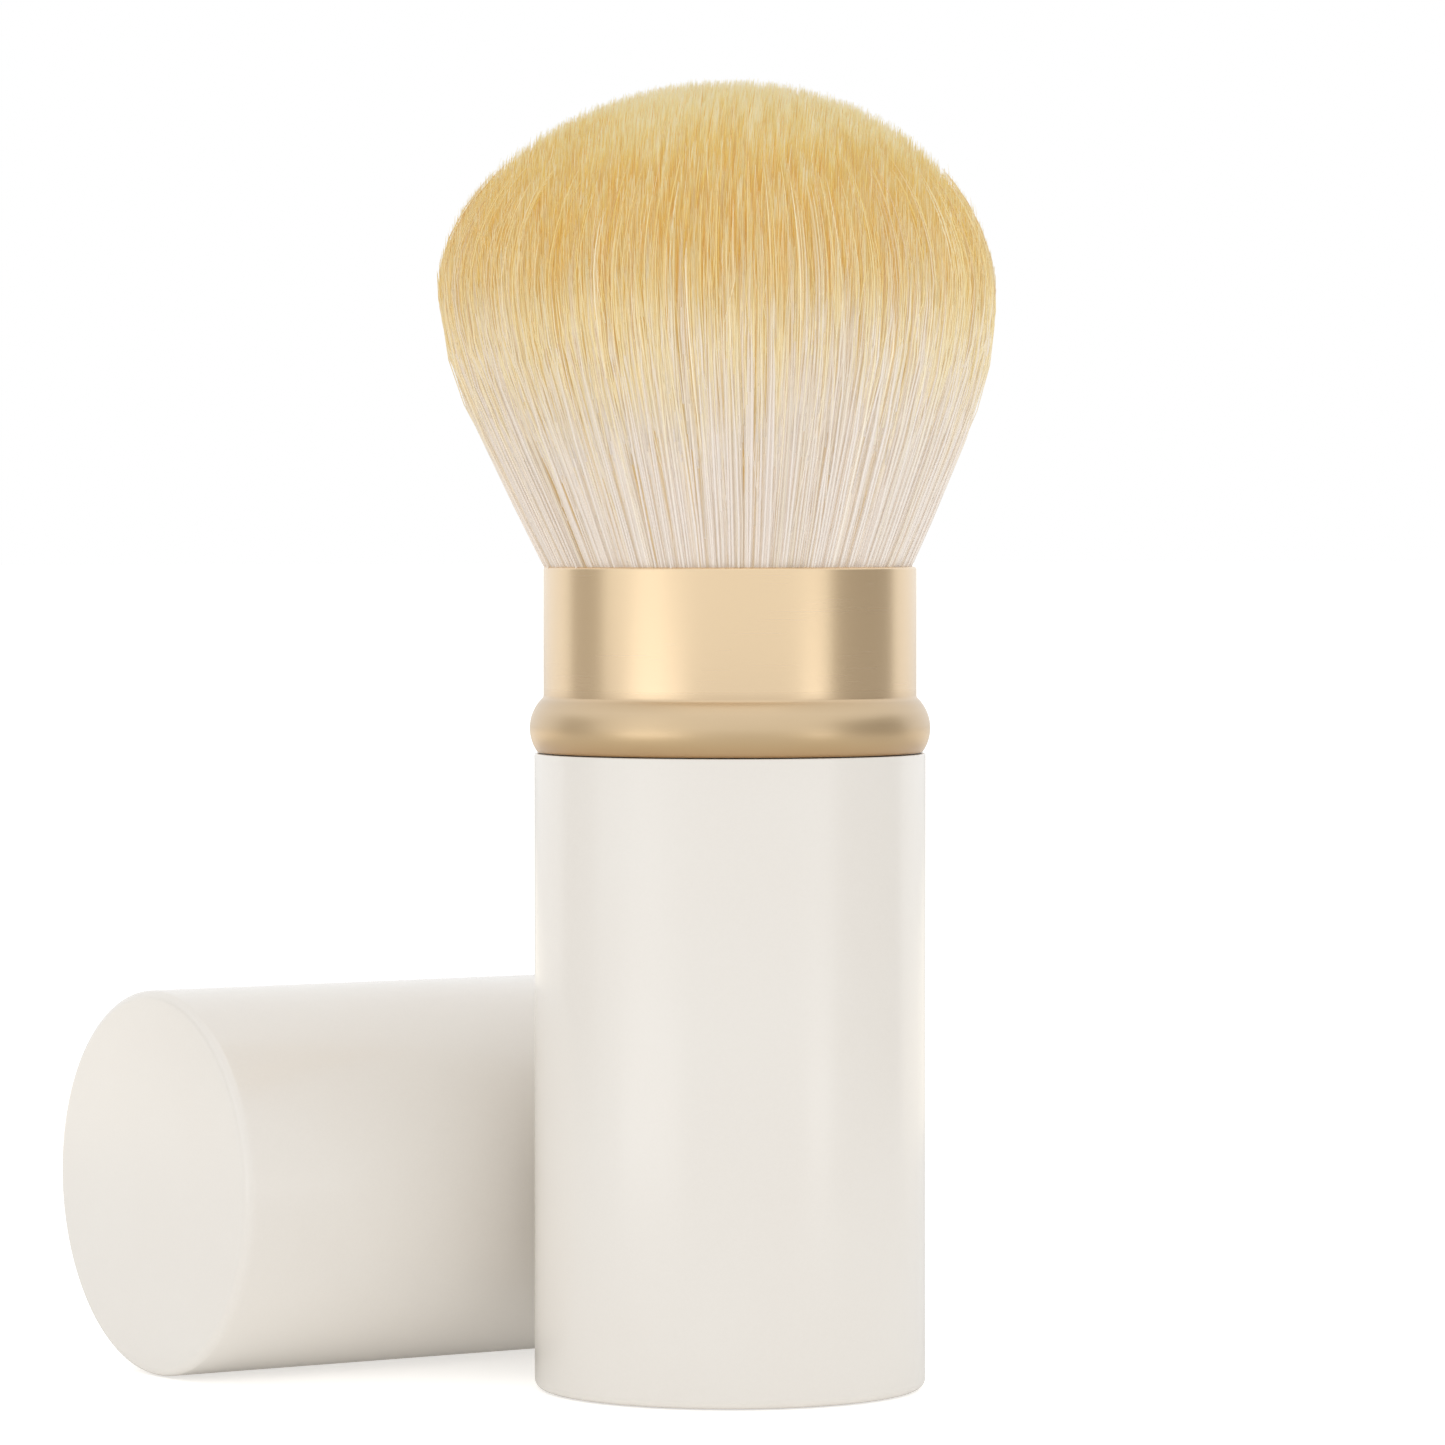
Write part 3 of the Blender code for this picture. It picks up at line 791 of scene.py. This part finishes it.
strandKinds = {
    "outer": {
        "count": 7800,
        "cuts": 5,
        "innerShare": 0.84,  # they fill the tuft from this share of its radius outwards
        "length": None,
        "thickness": 0.00030,
        "widthShares": (0.55, 0.95, 1, 0.65, 0.1),  # from root to tip
        "tones": (-0.1, 1.05),
        "clumping": 0.6,
        "clumpCut": 0.0050,
        "scatter": 0.0011,
        "drift": 0.0003,  # of a clump's tip
        "stray": 0.00012,  # of a strand's tip in its clump
        "bow": 0.00034,
    },
    "inner": {
        "count": 44000,
        "cuts": 1,
        "innerShare": 0.0,
        "length": 0.015,
        "thickness": 0.00024,
        "widthShares": (0.9, 1, 1, 0.65, 0.06),
        "tones": (-0.1, 1.05),
        "clumping": 0.6,
        "clumpCut": 0.0034,
        "scatter": 0.0008,
        "drift": 0.0002,
        "stray": 0.00010,
        "bow": 0.00012,
    },
    "fuzz": {
        "count": 9000,
        "cuts": 1,
        "innerShare": 0.0,
        "length": 0.006,
        "thickness": 0.00012,
        "widthShares": (1, 1, 1, 0.7, 0.2),
        "tones": (0.3, 1),
        "clumping": 0.0,
        "clumpCut": 0.0,
        "scatter": 0.0011,
        "drift": 0.0,
        "stray": 0.0004,
        "bow": 0.0001,
    },
    "loose": {
        "count": 1400,
        "cuts": 5,
        "innerShare": 0.95,
        "length": 0.024,
        "thickness": 0.00012,
        "widthShares": (1, 1, 1, 0.6, 0.1),
        "tones": (0.6, 1),
        "clumping": 0.0,
        "clumpCut": 0.0,
        "scatter": 0.0020,
        "drift": 0.0,
        "stray": 0.0016,
        "bow": 0.0003,
    },
    "combedOver": {  # they lie on the dome's foot, with their tips this high above the waist
        "tipRise": (-0.003, 0.012),
        "count": 1300,
        "cuts": 7,
        "innerShare": 0.975,
        "length": 0.021,
        "thickness": 0.00017,
        "widthShares": (0.3, 1, 1, 0.7, 0.15),
        "tones": (-0.25, 1.15),
        "clumping": 0.5,
        "clumpCut": 0.0,
        "scatter": 0.0,
        "drift": 0.0003,
        "stray": 0.0003,
        "bow": 0.0001,
    },
}
clumps = {
    "shells": 12,  # rings of clumps, one in the other
    "around": 270,  # in the outermost ring
    "ownTone": 0.4,  # share of a strand's tone that is its own
    "proud": 0.1,  # share of the cut by which the longest clumps stand out
    "edgeBias": 3,  # clumps are cut unevenly towards the dome's edge, by this power
}
strandShape = {
    "cutBias": 1.4,  # cuts lie closer towards the tip, by this power
    "widthPlaces": (0, 0.4, 0.6, 0.9, 1),  # where along a strand its widthShares are met
    "widthSpread": (0.75, 1.2),
    "lengthSpread": (0.8, 1.1),
    "aside": (0.3, 0.2, 0.1),  # a strand's sides are squared to this
    "innerDepth": 0.003,  # from here inwards, strands count as wholly inside
}


class Tuft:
    def __init__(self):
        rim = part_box("collar")[1].z
        self.apex = rim - tuftShape["rimRadius"] / tuftShape["flare"]
        self.root = rim - tuftShape["rootDrop"]
        self.bend = rim + tuftShape["bendRise"]
        self.waist = rim + tuftShape["waistRise"]
        self.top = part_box("bristles")[1].z
        self.flank = self.flankRadius(self.top)
        self.radius = self.flank + tuftShape["overhang"]

    def flankRadius(self, heights):
        length = tuftShape["bendLength"]
        straight = np.minimum(heights, self.bend) - self.apex
        bent = np.clip(heights - self.bend, 0, length)
        return tuftShape["flare"] * (straight + bent - bent ** 2 / 2 / length)

    def domeHeight(self, radii):
        return self.waist + (self.top - self.waist) * np.sqrt(np.clip(1 - (radii / self.radius) ** 2, 0, 1))

    def outlineRadius(self, heights):
        rises = np.clip((heights - self.waist) / (self.top - self.waist), 0, 1)
        return self.flankRadius(heights) * np.sqrt(1 - rises ** 2)

    def places(self, shares, angles, heights, radius):
        radii = shares * radius(heights)
        return np.stack([radii * np.cos(angles), radii * np.sin(angles), heights], -1)

    def depth(self, points):
        # how far inside the outline points lie: from the flank, or, above the waist, from the dome
        # along a ray from the waist's middle
        radii = np.hypot(points[:, 0], points[:, 1])
        rises = np.clip(points[:, 2] - self.waist, 0, None)
        domeShare = np.hypot(radii / self.radius, rises / (self.top - self.waist))
        reach = np.hypot(radii, rises) / np.maximum(domeShare, tuftShape["leastShare"])
        fromDome = (1 - domeShare) * reach
        fromFlank = self.flankRadius(points[:, 2]) - radii
        return np.clip(np.where(rises > 0, fromDome, fromFlank), 0, None)

    def leaning(self, points):
        # the same points, moved aside, most at the waist
        rise = np.clip((points[:, 2] - self.root) / (self.top - self.root), 0, 1)
        return points + np.sin(math.pi * rise ** 2)[:, None] * np.array(tuftShape["lean"])


tuft = Tuft()


def strandTemplate(cuts):
    # a three-sided strand of unit length and width, cut across
    bm = bmesh.new()
    bmesh.ops.create_cone(bm, cap_ends=True, segments=3, radius1=1, radius2=1, depth=1)
    bmesh.ops.translate(bm, verts=bm.verts[:], vec=(0, 0, 0.5))
    upright = [edge for edge in bm.edges if abs(edge.verts[0].co.z - edge.verts[1].co.z) > 0.5]
    bmesh.ops.subdivide_edges(bm, edges=upright, cuts=cuts)
    mesh = bpy.data.meshes.new("strand")
    bm.to_mesh(mesh)
    bm.free()
    return mesh


def repeated(mesh, count):
    # the same mesh many times over, as one mesh
    piece = bpy.data.objects.new("strand", mesh)
    bpy.context.scene.collection.objects.link(piece)
    copies = piece.modifiers.new("copies", "ARRAY")
    copies.count = count
    copies.use_relative_offset = False
    bpy.context.view_layer.update()
    shaped = piece.evaluated_get(bpy.context.evaluated_depsgraph_get())
    made = bpy.data.meshes.new_from_object(shaped)
    bpy.data.objects.remove(piece)
    return made


def clumpsOf(kind, share, angle, chance):
    # for each strand, the angle of its clump's middle, and what the clump's strands have in common
    shells, around = clumps["shells"], clumps["around"]
    shell = np.minimum(share * shells, shells - 1).astype(int)
    inShell = np.ceil((shell + 1) / shells * around)
    clump = np.floor(angle / math.tau * inShell)
    own = shell, clump.astype(int)
    tone, cut = chance.uniform(0, 1, (2, shells, around))
    drift = chance.normal(0, kind["drift"], (2, shells, around))
    return (clump + 0.5) / inShell * math.tau, tone[own], cut[own], drift[:, own[0], own[1]]


def strandLines(kind, chance):
    # for each strand of a kind, its line and its look, one value each; a clump's strands draw together
    count = kind["count"]
    share = np.sqrt(chance.uniform(kind["innerShare"] ** 2, 1, count))
    angle = chance.uniform(0, math.tau, count)
    clumpAngle, clumpTone, clumpCut, clumpDrift = clumpsOf(kind, share, angle, chance)
    outwards, sideways = chance.normal(0, kind["stray"], (2, count)) + clumpDrift
    tipShare = 1 - np.abs(1 - share - outwards / tuft.flank)
    cut = np.abs(chance.normal(0, kind["scatter"], count)) - kind["scatter"] / 2 + tuftShape["trim"]
    cut += (clumpCut - clumps["proud"]) * kind["clumpCut"] * share ** clumps["edgeBias"]
    high = tuft.domeHeight(tipShare * tuft.flank) - cut
    if "tipRise" in kind:
        high = tuft.waist + chance.uniform(*kind["tipRise"], count)
    tone = clumpTone + (chance.uniform(0, 1, count) - clumpTone) * clumps["ownTone"]
    low = np.full(count, tuft.root)
    if kind["length"]:
        low = high - kind["length"] * chance.uniform(*strandShape["lengthSpread"], count)
    turn = (clumpAngle - angle) * kind["clumping"]
    return {
        "angle": angle,
        "tipAngle": angle + turn + sideways / (share * tuft.flank + tuftShape["middleRadius"]),
        "share": share,
        "tipShare": tipShare,
        "low": low,
        "high": high,
        "bow": chance.normal(0, kind["bow"], (count, 3)) * (1, 1, 0),
        "thickness": kind["thickness"] * chance.uniform(*strandShape["widthSpread"], count),
        "tone": np.interp(tone, (0, 1), kind["tones"]),
    }


def unit(vectors):
    return vectors / np.linalg.norm(vectors, axis=1)[:, None]


def setLooks(mesh, looks):
    # what the hair's finish reads at each point
    for label in strandLooks:
        layer = mesh.attributes.new(label, "FLOAT", "POINT")
        layer.data.foreach_set("value", np.clip(looks[label], 0, 1).astype(np.float32))


def combedMesh(kind, lines):
    # the repeated template, each copy drawn out along its own line
    template = strandTemplate(kind["cuts"])
    corners = np.array([vert.co for vert in template.vertices])
    count = len(lines["angle"])
    mesh = repeated(template, count)
    along = 1 - (1 - corners[:, 2]) ** strandShape["cutBias"]

    def between(start, end, part):
        return lines[start][:, None] + (lines[end] - lines[start])[:, None] * part

    points = tuft.places(
        between("share", "tipShare", along),
        between("angle", "tipAngle", 1 - (1 - along) ** 2),
        between("low", "high", along),
        tuft.outlineRadius if "tipRise" in kind else tuft.flankRadius,
    )
    points += lines["bow"][:, None] * (4 * along * (1 - along))[:, None]
    taper = np.interp(along, strandShape["widthPlaces"], kind["widthShares"])
    width = lines["thickness"][:, None, None] / 2 * taper[:, None]
    line = unit(points[:, along.argmax()] - points[:, along.argmin()])
    side = unit(np.cross(line, strandShape["aside"]))
    front = np.cross(line, side)
    points += width * (side[:, None] * corners[:, :1] + front[:, None] * corners[:, 1:2])
    points = points.reshape(-1, 3)
    mesh.vertices.foreach_set("co", tuft.leaning(points).astype(np.float32).ravel())
    setLooks(mesh, {
        "tone": np.repeat(lines["tone"], len(corners)),
        "depth": tuft.depth(points) / strandShape["innerDepth"],
        "along": np.tile(along, count),
    })
    mesh.shade_smooth()
    return mesh


def coreMesh(start):
    # a wedge of the solid heart of the tuft, so that no light shows through it
    share = coreShape["share"]
    edgeTop = tuft.domeHeight(share * tuft.flank) - coreShape["inset"]
    heights = np.linspace(tuft.root, edgeTop, coreShape["flankSteps"])
    radii = np.linspace(share * tuft.flankRadius(edgeTop), 0, coreShape["domeSteps"])[1:]
    outline = [
        (0, tuft.root),
        *zip(share * tuft.flankRadius(heights), heights),
        *zip(radii, tuft.domeHeight(radii) - coreShape["inset"]),
    ]
    bm = bmesh.new()
    verts = [bm.verts.new((radius, 0, height)) for radius, height in outline]
    face = bm.faces.new(verts)
    bmesh.ops.rotate(bm, verts=verts, matrix=Matrix.Rotation(start, 3, "Z"))
    bmesh.ops.spin(
        bm, geom=[face, *face.edges, *face.verts], cent=(0, 0, 0), axis=(0, 0, 1),
        angle=math.tau / tuftShape["sectors"], steps=coreShape["turnSteps"],
    )
    bmesh.ops.remove_doubles(bm, verts=bm.verts[:], dist=turning["mergeDistance"])
    bmesh.ops.recalc_face_normals(bm, faces=bm.faces[:])
    mesh = bpy.data.meshes.new("core")
    bm.to_mesh(mesh)
    bm.free()
    setLooks(mesh, {label: np.full(len(mesh.vertices), coreShape["look"]) for label in strandLooks})
    return mesh


def joinedMesh(meshes):
    pieces = []
    for mesh in meshes:
        piece = bpy.data.objects.new("strands", mesh)
        bpy.context.scene.collection.objects.link(piece)
        pieces.append(piece)
    with bpy.context.temp_override(active_object=pieces[0], selected_editable_objects=pieces):
        bpy.ops.object.join()
    joined = pieces[0].data
    bpy.data.objects.remove(pieces[0])
    return joined


def makeTuft():
    chance = np.random.default_rng(tuftShape["seed"])
    sectors = tuftShape["sectors"]
    strands = {name: strandLines(kind, chance) for name, kind in strandKinds.items()}
    for sector in range(sectors):
        start = math.tau * sector / sectors
        meshes = [coreMesh(start)]
        for name, lines in strands.items():
            here = np.floor(lines["angle"] / math.tau * sectors).astype(int) == sector
            own = {key: values[here] for key, values in lines.items()}
            meshes.append(combedMesh(strandKinds[name], own))
        piece = addPiece(f"tuft{sector:02d}", joinedMesh(meshes), "head", "hair", "bristles")
        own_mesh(piece)


makeTuft()
print("tuft combed")
